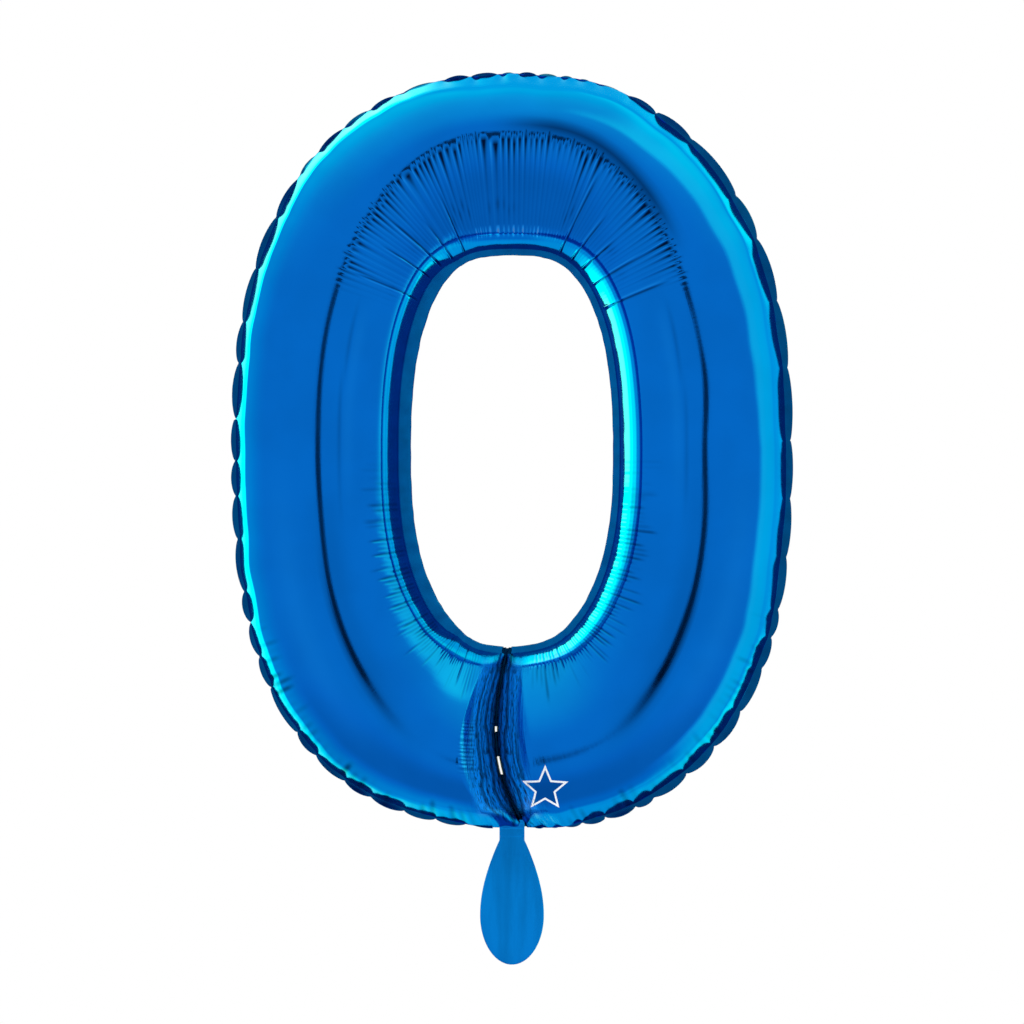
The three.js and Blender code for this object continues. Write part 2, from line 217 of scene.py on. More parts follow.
class BalloonSettings(bpy.types.PropertyGroup):
    """Everything that a user would change."""

    ring: PointerProperty(type=RingSettings)
    pleats: PointerProperty(type=PleatSettings)
    colours: PointerProperty(type=ColourSettings)
    mark: PointerProperty(type=MarkSettings)
    stage: PointerProperty(type=StageSettings)


def settings():
    """The scene's balloon settings."""
    return bpy.context.scene.balloon


# ---- Shader maths ----


class Wire:
    """A socket's output. An expression on it adds Math nodes."""

    def __init__(self, board, socket):
        self.board = board
        self.socket = socket

    def __add__(self, other):
        return self.board.math("ADD", self, other)

    __radd__ = __add__

    def __sub__(self, other):
        return self.board.math("SUBTRACT", self, other)

    def __rsub__(self, other):
        return self.board.math("SUBTRACT", other, self)

    def __mul__(self, other):
        return self.board.math("MULTIPLY", self, other)

    __rmul__ = __mul__

    def __pow__(self, other):
        return self.board.math("POWER", self, other)

    def __neg__(self):
        return self.board.math("MULTIPLY", self, -1.0)


class Board:
    """One node tree: a material's or the world's."""

    def __init__(self, tree):
        self.tree = tree
        tree.nodes.clear()

    def node(self, kind, settings=None, **inputs):
        """A node of a type, with its settings, and values or links for its sockets by name or number."""
        made = self.tree.nodes.new(kind)
        for key, value in (settings or {}).items():
            setattr(made, key, value)
        for key, value in inputs.items():
            name = key.replace("_", " ")
            socket = made.inputs[int(name[2:])] if name.startswith("at") else made.inputs[name]
            self.feed(socket, value)
        return made

    def feed(self, socket, value):
        """Links a wire to a socket, or sets the socket to a value."""
        if isinstance(value, Wire):
            self.tree.links.new(value.socket, socket)
        else:
            socket.default_value = value

    def out(self, node, name=0):
        """A wire from a node's output."""
        return Wire(self, node.outputs[name])

    def math(self, operation, *values):
        """A Math node."""
        made = self.node("ShaderNodeMath", {"operation": operation})
        for socket, value in zip(made.inputs, values):
            self.feed(socket, value)
        return self.out(made)

    def smooth(self, value, low, high, start=0.0, end=1.0):
        """A smooth step from one value to another between two bounds."""
        made = self.node(
            "ShaderNodeMapRange", {"interpolation_type": "SMOOTHSTEP"}, at0=value, at1=low, at2=high
        )
        made.inputs[3].default_value = start
        made.inputs[4].default_value = end
        return self.out(made)

    def mix(self, factor, first, second):
        """A mix of two colours."""
        made = self.node("ShaderNodeMix", {"data_type": "RGBA"}, at0=factor)
        self.feed(made.inputs[6], first if isinstance(first, Wire) else (*first, 1.0))
        self.feed(made.inputs[7], second if isinstance(second, Wire) else (*second, 1.0))
        return self.out(made, 2)

    def noise(self, vector, scale, detail=2.0, roughness=0.5):
        """Noise over a vector."""
        made = self.node(
            "ShaderNodeTexNoise", None, Vector=vector, Scale=scale, Detail=detail, Roughness=roughness
        )
        return self.out(made, "Fac")

    def split(self, vector):
        """A vector's three parts."""
        made = self.node("ShaderNodeSeparateXYZ", None, Vector=vector)
        return [self.out(made, i) for i in range(3)]

    def join(self, x, y, z):
        """A vector of three parts."""
        return self.out(self.node("ShaderNodeCombineXYZ", None, X=x, Y=y, Z=z))

    def place(self):
        """Object coordinates."""
        return self.out(self.node("ShaderNodeTexCoord"), "Object")

    def uv(self):
        """The piece's own UV map: metres along the tube, and metres across it."""
        return self.out(self.node("ShaderNodeUVMap", {"uv_map": "along_across"}))


def new_material(name):
    """A material with an empty node board."""
    made = bpy.data.materials.new(name)
    made.use_nodes = True
    return made, Board(made.node_tree)


def finish_material(board, height=None, bump_distance=0.0, bump_strength=1.0, **inputs):
    """A Principled shader with its inputs, and a bump that feeds its normal."""
    if height is not None:
        bump = board.node("ShaderNodeBump", None, Strength=bump_strength, Distance=bump_distance)
        board.feed(bump.inputs["Height"], height)
        inputs["Normal"] = board.out(bump)
    shader = board.node("ShaderNodeBsdfPrincipled", None, **inputs)
    board.node("ShaderNodeOutputMaterial", None, Surface=board.out(shader))


def star_mask(board, x, z, centre_x, centre_z, radius):
    """How far inside a five-pointed star a place is, in metres: above 0 is inside.

    The angle is folded into a tenth of a turn, and the star's edge is then one straight line from a
    tip to the dent beside it."""
    dx = x - centre_x
    dz = z - centre_z
    reach = (dx * dx + dz * dz) ** 0.5
    tenth = math.pi / 5
    turned = board.math("ARCTAN2", dx, dz)
    folded = board.math("PINGPONG", turned, tenth)
    along = board.math("COSINE", folded) * reach
    aside = board.math("SINE", folded) * reach
    dent = 0.45 * radius
    tip_to_dent = (dent * math.cos(tenth) - radius, dent * math.sin(tenth))
    edge = math.hypot(*tip_to_dent)
    return ((along - radius) * tip_to_dent[1] - aside * tip_to_dent[0]) * (-1.0 / edge)


def mix_painted_light(board, base):
    """Mixes in painted light as the mesh's attribute says: the fold colour as painted shade, and the
    gleam and the glint as painted highlights.
    """
    colours = settings().colours
    painted_light = board.out(board.node("ShaderNodeAttribute", {"attribute_name": "painted_light"}), "Fac")
    base = board.mix(board.math("MAXIMUM", painted_light, 0.0), base, tuple(colours.fold))
    base = board.mix(board.math("MAXIMUM", -painted_light, 0.0), base, tuple(colours.painted_gleam))
    return board.mix(board.smooth(-painted_light, 1.0, 2.0), base, tuple(colours.painted_glint))


def printed(board, base, rough):
    """Prints the star, with an edge and a fill. Gives the colour, the roughness and how metallic it is."""
    colours = settings().colours
    mark = settings().mark
    x, _, z = board.split(board.place())
    inside = star_mask(board, x, z, mark.right, mark.up, mark.radius)
    edge = board.smooth(inside, -0.0002, 0.0002)
    fill = board.smooth(inside, 0.0020, 0.0023)
    ink = board.mix(fill, tuple(colours.mark_edge), tuple(colours.mark))
    return board.mix(edge, base, ink), rough + 0.12 * edge, 1.0 - edge * (1.0 - fill)


def combed(board, base, near, across, on_left):
    """Draws the comb of fine teeth on the left wall's lip as stripes of painted shade and painted
    highlight. Gives the colour and the teeth's relief.
    """
    colours = settings().colours
    lip = board.smooth(near, 0.024, 0.031) * board.smooth(near, 0.050, 0.040)
    lip = lip * on_left * board.smooth(board.math("ABSOLUTE", across - 0.008), 0.034, 0.022)
    teeth = board.noise(board.join(near * 30.0, across * 420.0, 0.0), 1.0, 1.0) * lip
    uneven = 14.0 * board.noise(board.join(0.0, across * 60.0, 0.0), 1.0, 1.0)
    comb = board.math("SINE", across * 1350.0 + uneven) * lip
    base = board.mix(0.4 * board.math("MAXIMUM", comb, 0.0), base, tuple(colours.fold))
    return board.mix(0.5 * board.math("MAXIMUM", -comb, 0.0), base, tuple(colours.painted_gleam)), teeth


def film_material(name, tint, marked):
    """Lacquered metal film: a mirror with fine stretch lines along the tube and a faint grain. In the
    slit it is crumpled and dull, with dark dashes of painted shade. The mesh's painted light goes over it."""
    material, board = new_material(name)
    along, across, _ = board.split(board.uv())
    grain = board.noise(board.place(), 900.0, 2.0)
    cloud = board.noise(board.place(), 14.0, 3.0)
    lines = board.noise(board.join(along * 9.0, across * 260.0, 0.0), 1.0, 3.0, 0.6)
    ripples = board.noise(board.join(along * 260.0, across * 14.0, 0.0), 1.0, 2.0, 0.5)
    base = board.mix(board.smooth(cloud, 0.3, 0.7), tint, tuple(0.93 * part for part in tint))
    whole = Ring().length
    near = board.math("MINIMUM", along, whole - along)
    on_left = board.smooth(along, whole / 2, whole / 2 + 0.1)
    dulled = board.smooth(near - 0.010 * on_left, 0.028, 0.018)
    dulled = dulled * board.smooth(board.math("ABSOLUTE", across), 0.092, 0.070)
    base = board.mix(dulled, base, tuple(settings().colours.wall))
    base = mix_painted_light(board, base)
    rough = 0.075 + 0.05 * cloud
    metal = 1.0
    if marked:
        base, rough, metal = printed(board, base, rough)
    base, teeth = combed(board, base, near, across, on_left)
    wall = board.smooth(near, 0.046, 0.03) * board.smooth(near, 0.0, 0.004)
    streaks = board.noise(board.join(near * 620.0, across * 22.0, 0.0), 1.0, 3.0, 0.6)
    dashes = board.noise(board.join(near * 900.0, across * 110.0, 0.0), 1.0, 2.0, 0.6)
    # Dark dashes of painted shade in the crumpled slit.
    base = board.mix(0.85 * dulled * board.smooth(dashes, 0.50, 0.62), base, tuple(settings().colours.fold))
    metal = metal - 0.85 * dulled
    rough = rough + 0.3 * dulled
    height = 0.25 * grain + 0.5 * lines + 0.35 * ripples + 9.0 * streaks * wall + 7.0 * teeth
    finish_material(
        board,
        height,
        0.00006,
        1.0,
        Base_Color=base,
        Metallic=metal,
        Roughness=rough,
        Specular_Tint=(0.26, 0.6, 0.88, 1.0),
        Specular_IOR_Level=0.1,
    )
    return material


def seam_material(name, light=1.0):
    """Sealed film: the same metal, with the fine cross-hatch that a hot press leaves."""
    material, board = new_material(name)
    x, _, z = board.split(board.place())
    ribs = board.math("SINE", (x + z) * 3200.0) + board.math("SINE", (x - z) * 3200.0)
    cloud = board.noise(board.place(), 60.0, 3.0)
    # The light factor makes a brighter copy as painted light, or a darker copy as painted shade.
    tint = tuple(light * part for part in settings().colours.seam)
    base = board.mix(cloud, tint, tuple(0.55 * part for part in tint))
    finish_material(
        board, ribs + 3.0 * cloud, 0.00004, 1.0, Base_Color=base, Metallic=1.0, Roughness=0.14 + 0.12 * cloud
    )
    return material


def tail_material(name):
    """Loose film: satin, with a faint cloth-like grain and the soft folds of a flat sheet."""
    material, board = new_material(name)
    x, y, z = board.split(board.place())
    grain = board.noise(board.place(), 700.0, 2.0)
    folds = board.noise(board.join(x * 60.0, y * 10.0, z * 9.0), 1.0, 3.0)
    tint = tuple(settings().colours.tail)
    base = board.mix(board.smooth(folds, 0.35, 0.7), tint, tuple(0.82 * part for part in tint))
    finish_material(
        board, 0.2 * grain + folds, 0.0004, 0.6, Base_Color=base, Metallic=1.0, Roughness=0.2 + 0.1 * folds
    )
    return material


def valve_material(name):
    """Thin clear film with streaks."""
    material, board = new_material(name)
    x, y, z = board.split(board.place())
    streaks = board.noise(board.join(x * 200.0, y, z * 20.0), 1.0, 3.0)
    tint = tuple(settings().colours.valve)
    base = board.mix(streaks, tint, tuple(0.9 * part for part in tint))
    finish_material(
        board, streaks, 0.0001, 0.5, Base_Color=base, Metallic=0.0, Roughness=0.2 + 0.15 * streaks, Alpha=0.55
    )
    return material


def ink_material(name):
    """Matte release ink with pinholes."""
    material, board = new_material(name)
    specks = board.noise(board.place(), 1500.0, 2.0)
    tint = tuple(settings().colours.release_ink)
    base = board.mix(board.smooth(specks, 0.55, 0.75), tint, (0.2, 0.2, 0.2))
    finish_material(board, specks, 0.00003, 0.5, Base_Color=base, Metallic=0.0, Roughness=0.7 + 0.2 * specks)
    return material


def floor_material():
    """Plain pale floor with a barely visible mottle."""
    material, board = new_material("floor")
    mottle = board.noise(board.place(), 3.0, 3.0)
    tint = tuple(settings().colours.floor)
    base = board.mix(mottle, tint, tuple(0.97 * part for part in tint))
    finish_material(board, None, Base_Color=base, Roughness=0.6 + 0.1 * mottle)
    return material


# ---- Curves of the ring ----


def soft_step(value, low, high):
    """0 below low, 1 above high, and a smooth cubic between."""
    share = np.clip((value - low) / (high - low), 0.0, 1.0)
    return share * share * (3 - 2 * share)


def wander(value, spacing, seed):
    """Smooth noise from -1 to 1 over one value: random knots joined by cubic steps."""
    place = np.asarray(value) / spacing
    first = math.floor(float(np.min(place)))
    count = int(math.ceil(float(np.max(place)))) - first + 2
    knots = np.random.default_rng(seed).uniform(-1.0, 1.0, count)
    low = np.floor(place).astype(int)
    share = soft_step(place - low, 0.0, 1.0)
    return knots[low - first] * (1 - share) + knots[low - first + 1] * share


class Ring:
    """The tube's centre line and stroke as arrays over the arc length from the slit, seen from the
    front: first to the right, over the top, and back down the left."""

    samples = 6000

    def __init__(self):
        s = settings().ring
        self.s = s
        foot_swell = s.shoulder_swell * math.exp(-((s.shoulder_distance / s.shoulder_spread) ** 2)) / 2
        self.half_width = (s.width - s.stroke) / 2
        self.half_height = (s.height - s.stroke - foot_swell) / 2
        self.middle = self.half_height + s.stroke / 2 + foot_swell - s.stroke_taper / 2
        angle = -math.pi / 2 + np.linspace(0, 2 * math.pi, self.samples + 1)
        power = np.where(np.sin(angle) > 0, s.top_squareness, s.bottom_squareness)
        grown_x = np.abs(np.cos(angle) / self.half_width) ** power
        grown_z = np.abs(np.sin(angle) / self.half_height) ** power
        radius = (grown_x + grown_z) ** (-1 / power)
        self.x = radius * np.cos(angle)
        self.z = radius * np.sin(angle)
        normal_x = np.sign(self.x) * np.abs(self.x / self.half_width) ** (power - 1) / self.half_width
        normal_z = np.sign(self.z) * np.abs(self.z / self.half_height) ** (power - 1) / self.half_height
        size = np.hypot(normal_x, normal_z)
        self.normal_x = normal_x / size
        self.normal_z = normal_z / size
        steps = np.hypot(np.diff(self.x), np.diff(self.z))
        self.arc = np.concatenate([[0.0], np.cumsum(steps)])
        self.length = self.arc[-1]

    def at(self, arc):
        """The centre line's x, z and outward normal at arc lengths."""
        return [np.interp(arc, self.arc, part) for part in (self.x, self.z, self.normal_x, self.normal_z)]

    def from_slit(self, arc):
        """The distance back to the slit along the centre line."""
        return np.minimum(arc, self.length - arc)

    def stroke(self, arc):
        """The stroke's width: even, but swollen at the shoulders and a little wider at the top."""
        s = self.s
        off_shoulder = (self.from_slit(arc) - s.shoulder_distance) / s.shoulder_spread
        swell = s.shoulder_swell * np.exp(-(off_shoulder**2))
        return s.stroke + swell + s.stroke_taper * np.interp(arc, self.arc, self.z) / self.half_height

    def slit_side(self, share):
        """The slit's x at a share of its height: a leaning line that bows to the left as half a sine."""
        s = self.s
        up = np.clip(share, 0.0, 1.0)
        return s.slit_foot - s.slit_lean * up - s.slit_bow * np.sin(math.pi * up**s.slit_bow_skew)

    def plane(self, arc, offset):
        """x and z of a place in the seam's plane, at an arc length and an offset out of the centre line."""
        x, z, normal_x, normal_z = self.at(arc)
        share = 0.5 - offset / self.stroke(arc)
        bend = self.slit_side(share) * np.exp(-((self.from_slit(arc) / self.s.slit_reach) ** 2))
        return x + normal_x * offset + bend, self.middle + z + normal_z * offset

    def outer_edge(self, arc):
        """Offset of the blown-up film's outer edge: it hangs over the sealed edge, most of all on top
        and beside the slit."""
        s = self.s
        normal_x, normal_z = self.at(arc)[2:]
        right = soft_step(normal_x, 0.3, 0.75)
        top = soft_step(normal_z, 0.25, 0.8) * (1 - right)
        foot = 1 - soft_step(self.from_slit(arc), 0.03, 0.07)
        lap = s.film_lap - 0.0026 * right + 0.0042 * top + 0.0045 * foot + 0.0012 * wander(arc, 0.03, 5)
        return self.stroke(arc) / 2 - s.outer_seam + lap

    def inner_edge(self, arc):
        """How far inwards the film's inner edge lies; more of the sealed edge shows on the left."""
        s = self.s
        normal_x = self.at(arc)[2]
        shown = s.inner_seam + (s.left_inner_seam - s.inner_seam) * soft_step(-normal_x, 0.55, 0.9)
        return self.stroke(arc) / 2 - shown

    def bent(self, arc):
        """0 where the ring runs straight up its sides, and 1 at its top and bottom."""
        return np.abs(np.interp(arc, self.arc, self.normal_z))


# ---- Meshes ----


def grid_faces(rows, columns, flip=False):
    """Quads of a grid whose points run along its columns first."""
    first = (np.arange(rows - 1)[:, None] * columns + np.arange(columns - 1)[None, :]).ravel()
    quads = first[:, None] + np.array([0, columns, columns + 1, 1])
    return quads[:, ::-1] if flip else quads


def new_piece(name, points, quads, material, uv=None, smooth=True, painted_light=None):
    """A mesh object at the origin from point and quad arrays. The painted light of each point is from
    -1, a painted highlight, to 1, painted shade in the dark of a fold."""
    mesh = bpy.data.meshes.new(name)
    points = np.asarray(points, np.float32).reshape(-1, 3)
    quads = np.asarray(quads, np.int32)
    mesh.vertices.add(len(points))
    mesh.vertices.foreach_set("co", points.ravel())
    mesh.loops.add(quads.size)
    mesh.loops.foreach_set("vertex_index", quads.ravel())
    mesh.polygons.add(len(quads))
    mesh.polygons.foreach_set("loop_start", np.arange(0, quads.size, 4, dtype=np.int32))
    mesh.update(calc_edges=True)
    mesh.polygons.foreach_set("use_smooth", np.broadcast_to(smooth, len(quads)))
    if painted_light is not None:
        values = mesh.attributes.new("painted_light", "FLOAT", "POINT")
        values.data.foreach_set("value", np.asarray(painted_light, np.float32).ravel())
    if uv is not None:
        layer = mesh.uv_layers.new(name="along_across")
        uv = np.asarray(uv, np.float32).reshape(-1, 2)
        layer.data.foreach_set("uv", uv[quads.ravel()].ravel())
    mesh.materials.append(material)
    mesh.validate()
    made = bpy.data.objects.new(name, mesh)
    bpy.context.scene.collection.objects.link(made)
    return made


def grid_normals(points):
    """Unit normals of a grid of points, from the cross product of its two directions."""
    along = np.gradient(points, axis=0)
    across = np.gradient(points, axis=1)
    normal = np.cross(along, across)
    return normal / np.maximum(np.linalg.norm(normal, axis=-1, keepdims=True), 1e-12)


# ---- Films ----


def film_arcs(ring, start, pleats):
    """Arc lengths of the film's columns: spacing is fine in the pleated arch, middling at the ends and
    lower bends, and wide on the straight sides. They are read off the running sum of the density."""
    columns = 1650
    straight, arch, bend, wall = 1 / 0.0032, 1 / 0.00068, 1 / 0.0012, 1 / 0.0006
    fine = np.linspace(start, ring.length - start, 20001)
    top = np.abs(fine - ring.length / 2)
    slit = ring.from_slit(fine)
    density = straight + np.zeros_like(fine)
    density += (arch - straight) * (1 - soft_step(top, pleats.window, pleats.window + 0.04))
    density += (bend - straight) * (1 - soft_step(slit, 0.32, 0.38))
    density += (wall - bend) * (1 - soft_step(slit, 0.045, 0.055))
    total = np.concatenate([[0.0], np.cumsum((density[1:] + density[:-1]) / 2 * np.diff(fine))])
    return np.interp(np.linspace(0, total[-1], columns), total, fine)


def section_shares(count_outer, count_inner):
    """The way across: -1 at the outer edge, 0 at the crest and 1 at the inner edge."""
    outer = np.linspace(-1, 0, count_outer, endpoint=False)
    return np.concatenate([outer, np.linspace(0, 1, count_inner)])


def soft_least(first, second, blend):
    """The smaller of two lengths, with a rounded corner where they cross."""
    return (first + second - np.sqrt((first - second) ** 2 + blend**2)) / 2


def end_fill(ring, arcs, share):
    """How full each section is: 0 at the slit, and 1 once the end has filled out. Halfway up the slit the
    ends take longer to fill, and the left end more so. The fill is part root, part sine: it leaves a
    crease where the wall meets the tube."""
    s = ring.s
    left = (arcs > ring.length / 2)[:, None]
    belly = np.sin(math.pi * np.clip(share, 0.0, 1.0)) ** 0.8
    far = np.where(left, s.left_end + s.left_end_extra * belly, s.right_end + s.right_end_extra * belly)
    away = np.clip((ring.from_slit(arcs)[:, None] - s.film_start) / far, 0.0, 1.0)
    crease = np.where(left, 0.6, 0.35)
    return crease * away**0.55 + (1 - crease) * np.sin(math.pi / 2 * away) ** 0.7


def film_surface(ring, arcs, across):
    """A blown-up film before its folds.

    Out of the crest the depth is that of an ellipse. Into the hole it is a parabola that meets a steep
    wall in a rounded bend. The wall's slope is given, and the ellipse ends on one like it. The crest
    falls evenly towards the two closed ends."""
    s = ring.s
    normal_x = ring.at(arcs)[2]
    on_left = soft_step(-normal_x, 0.55, 0.9)
    outer = ring.outer_edge(arcs)[:, None]
    inner = ring.inner_edge(arcs)[:, None]
    bent = ring.bent(arcs)[:, None]
    crest = s.crest_offset + s.crest_rise * bent**4
    r = np.abs(np.sin(across * math.pi / 2))[None, :]
    outward = across[None, :] < 0
    reach = np.where(outward, outer - crest, inner + crest)
    offset = crest + np.where(outward, r, -r) * reach
    full = s.half_depth
    outer_slope = 2.9 + 0.6 * soft_step(-normal_x, 0.05, 0.5)[:, None]
    wall_slope = np.where(outward, outer_slope, 2.75 + 1.2 * on_left[:, None])
    wall = wall_slope * reach * (1 - r)
    ellipse = full * np.sqrt(np.maximum(1 - r**2, 0.0))
    dome = full - 0.525 * reach * r**2
    depth = soft_least(np.where(outward, ellipse, dome), wall, 0.004)
    depth = np.maximum(depth, 0.0) * (r < 1)
    share = 0.5 - offset / ring.stroke(arcs)[:, None]
    short = np.maximum(s.end_reach - ring.from_slit(arcs), 0.0)[:, None]
    depth = depth * (1 - s.end_taper * short**2 / (short + 0.04) / full)
    depth = depth * end_fill(ring, arcs, share)
    x, z = ring.plane(arcs[:, None] + 0 * offset, offset)
    return np.stack([x, -depth, z], -1), offset, crest, r, outward


def arch_pleats(ring, arcs, offset, crest, r, outward):
    """Fine pleats of the arch's inner half.

    Each pleat is a groove whose section along the tube is a raised cosine. It starts sharply at the
    crest line, and its floor rises evenly to nothing over its own length; a shallow rest of it runs on
    to the hole. Depth, length and start are random."""
    p = settings().pleats
    rng = np.random.default_rng(p.seed)
    place = arcs / p.pitch + 0.8 * wander(arcs, 0.024, p.seed + 1)
    count = int(ring.length / p.pitch) + 3
    deep = rng.uniform(0.45, 1.0, count)
    long = rng.uniform(0.4, 1.5, count)
    tip = rng.uniform(-0.003, 0.004, count)
    index = np.clip(np.floor(place).astype(int), 0, count - 1)
    phase = place - np.floor(place)
    ridge = (0.5 - 0.5 * np.cos(2 * math.pi * phase)) ** 1.3
    inward = (crest - offset) - tip[index][:, None] - 0.006 * ring.bent(arcs)[:, None] ** 4
    begin = soft_step(inward, 0.0, 0.005)
    fade = 1 - np.clip(inward / (p.reach * long[index][:, None]), 0.0, 1.0)
    window = 1 - soft_step(np.abs(arcs - ring.length / 2), p.window - 0.06, p.window)
    edge = 1 - soft_step(r, 0.86, 0.97)
    height = p.height * deep[index] * ridge * window
    grouped = 1 + 0.7 * wander(arcs, 0.022, p.seed + 2)
    short = np.exp(-np.maximum(inward, 0) / (0.40 * p.reach * (long[index] * grouped)[:, None]))
    # Painted shade in each groove, and a painted highlight on its lip.
    slim = 0.12 + 0.19 * short
    dark = np.exp(-(((phase[:, None] - 0.5) / slim) ** 2)) * (window * (0.4 + 0.6 * deep[index]))[:, None]
    pale = np.exp(-(((phase - 0.92) / 0.11) ** 2)) * window * deep[index]
    painted_light = dark * (0.10 + 2.1 * short) - pale[:, None] * (0.12 + 0.95 * short)
    # Painted shade in patches across grouped pleats.
    shade_patch = np.exp(-(((r - 0.55 - 0.1 * long[index][:, None]) / 0.05) ** 2))
    painted_light += 0.35 * shade_patch * (soft_step(grouped, 0.9, 1.4) * window * ridge)[:, None]
    # Painted sparkles: a painted highlight near the hole's rim at the top.
    rim = soft_step(r, 0.80, 0.85) * (1 - soft_step(r, 0.88, 0.92))
    middle = 1 - soft_step(np.abs(arcs - ring.length / 2), 0.05, 0.10)
    painted_sparkle = middle * deep[index] ** 3 * soft_step(phase, 0.3, 0.5) * (1 - soft_step(phase, 0.6, 0.9))
    painted_light -= 2.4 * rim * painted_sparkle[:, None]
    outside = outward & (inward < 0)
    sunk = height[:, None] * begin * (0.06 + 0.94 * fade) * edge
    return np.where(outside, 0.0, sunk), np.where(outside, 0.0, painted_light * begin * edge)


def long_creases(ring, arcs, offset, crest, r, outward):
    """Long creases of the arch: narrow grooves that run from inside the crest to the inner edge, each
    with a raised lip beside it, deepest where it ends in the rim."""
    p = settings().pleats
    rng = np.random.default_rng(p.seed + 11)
    middle = ring.length / 2
    total = np.zeros_like(offset)
    painted_light = np.zeros_like(offset)
    for place in (-0.25, -0.21, -0.17, -0.13, -0.095, 0.10, 0.135, 0.165, 0.205, 0.24):
        centre = middle + place + rng.uniform(-0.008, 0.008)
        wide = rng.uniform(0.0011, 0.0018)
        lean = rng.uniform(-0.04, 0.04)
        begin = rng.uniform(0.1, 0.5)
        aside = (arcs[:, None] - centre - lean * (crest - offset)) / wide
        groove = np.exp(-(aside**2)) - 0.6 * np.exp(-((aside - 1.9) ** 2))
        deep = rng.uniform(0.00025, 0.0005) * soft_step(r, begin, begin + 0.4)
        deep = deep * (1 + 2.2 * soft_step(r, 0.8, 0.93)) * (1 - soft_step(r, 0.97, 0.995))
        total += groove * deep
        seen = soft_step(r, begin, begin + 0.3) * (1 - soft_step(r, 0.95, 0.99))
        # Painted shade in each groove, and a painted highlight on its lip.
        painted_light += seen * (0.75 * np.exp(-(aside**2)) - 0.5 * np.exp(-((aside - 1.9) ** 2)))
    return np.where(outward, 0.0, total), np.where(outward, 0.0, painted_light)


def painted_light_bands(ring, arcs, offset, crest):
    """Painted light along the tube where the tight film turns. Painted shade in soft dark bands: beside
    the crest on top, a thin one inside the crest on both sides, the shadows of the lower bends, the
    crest's two dark creases that end there, and the dimmer rim at the foot; painted highlight in pale
    bands beside the thin ones and in the lower bends."""
    middle = ring.length / 2
    right = (middle - arcs)[:, None]
    out = offset - crest
    top = soft_step(right, -0.03, 0.05) * (1 - soft_step(right, 0.15, 0.24))
    painted_light = 0.75 * top * np.exp(-(((out - 0.006) / 0.008) ** 2))
    side = soft_step(np.abs(right), 0.26, 0.32) * (1 - soft_step(np.abs(right), 0.42, 0.56))
    drift = 0.004 * wander(arcs, 0.12, 19)[:, None]
    painted_light += 0.24 * side * np.exp(-(((out + 0.027 + drift) / 0.0016) ** 2))
    painted_light -= 0.10 * side * np.exp(-(((out + 0.036 + drift) / 0.006) ** 2))
    slit = ring.from_slit(arcs)[:, None]
    lower = soft_step(slit, 0.08, 0.22) * (1 - soft_step(slit, 0.26, 0.5))
    painted_light += 0.16 * lower * np.exp(-(((out + 0.012) / 0.014) ** 2))
    painted_light -= 0.12 * lower * np.exp(-(((out - 0.040) / 0.014) ** 2))
    ending = soft_step(slit, 0.095, 0.17) * (1 - soft_step(slit, 0.24, 0.36))
    wide = 0.0032 + 0.0035 * soft_step(-slit, -0.30, -0.14)
    painted_light += np.where(right > 0, 0.75, 0.5) * ending * np.exp(-(((out + 0.001) / wide) ** 2))
    foot = (1 - soft_step(slit, 0.10, 0.22)) * soft_step(out, 0.060, 0.085)
    painted_light += 0.22 * foot
    return painted_light


def painted_glint_bands(ring, arcs, inward, r, outward, in_front):
    """Where the painted glint, a painted highlight, lies, from 0 to 1: in front, a band just inside the
    outer seam of the upper left bend, full round the bend and half as strong down the left side; and
    on both films a band on the hole's right wall."""
    past = (arcs - ring.length / 2)[:, None]
    bend = soft_step(past, 0.05, 0.12) * (1 - 0.5 * soft_step(past, 0.20, 0.50))
    bend = bend * (1 - soft_step(past, 0.50, 0.80))
    bend = in_front * bend * soft_step(inward, 0.0012, 0.0035) * (1 - soft_step(inward, 0.0105, 0.0140))
    right = soft_step(-past, 0.14, 0.26) * soft_step(ring.from_slit(arcs), 0.015, 0.05)[:, None]
    wall = soft_step(r, 0.85, 0.90) * (1 - soft_step(r, 0.97, 0.99))
    return bend + np.where(outward, 0.0, 0.85 * right * wall)


def painted_wall_streaks(ring, arcs, across, seed):
    """Painted light of the slit's walls: fine streaks of painted shade and painted highlight along the
    slit, and painted shade darkest in its depth.
    """
    away = (ring.from_slit(arcs) - ring.s.film_start)[:, None]
    left = (arcs > ring.length / 2)[:, None]
    drift = 0.0035 * wander(across, 0.3, seed)[None, :] + 0.0010 * wander(across, 0.06, seed + 1)[None, :]
    place = away + drift
    fine = np.interp(place, *knots(seed + 2, 0.0013))
    broad = np.interp(place, *knots(seed + 3, 0.0045))
    streak = np.clip(-0.3 + 1.2 * fine + 0.5 * broad, -0.2, 0.85)
    deep = (1 - soft_step(away, 0.0008, 0.0040)) * (0.8 + 0.2 * fine)
    share = across_to_rise(across)[None, :]
    belly = np.sin(math.pi * share) ** 0.8
    far = np.where(left, 0.010 + 0.026 * belly, 0.008 + 0.016 * belly)
    fade = 1 - soft_step(away, 0.75 * far, 1.1 * far)
    return np.maximum(streak, 0.95 * deep) * fade


def knots(seed, spacing):
    """Places an even spacing apart and a random value from -1 to 1 at each, for streaks."""
    places = np.arange(-0.02, 0.12, spacing)
    return places, np.random.default_rng(seed).uniform(-1.0, 1.0, len(places))


def across_to_rise(across):
    """How high in the slit a way across lies: 0 at the bottom edge, 1 at the hole."""
    return 0.5 + 0.5 * np.sign(across) * np.sin(np.abs(across) * math.pi / 2)


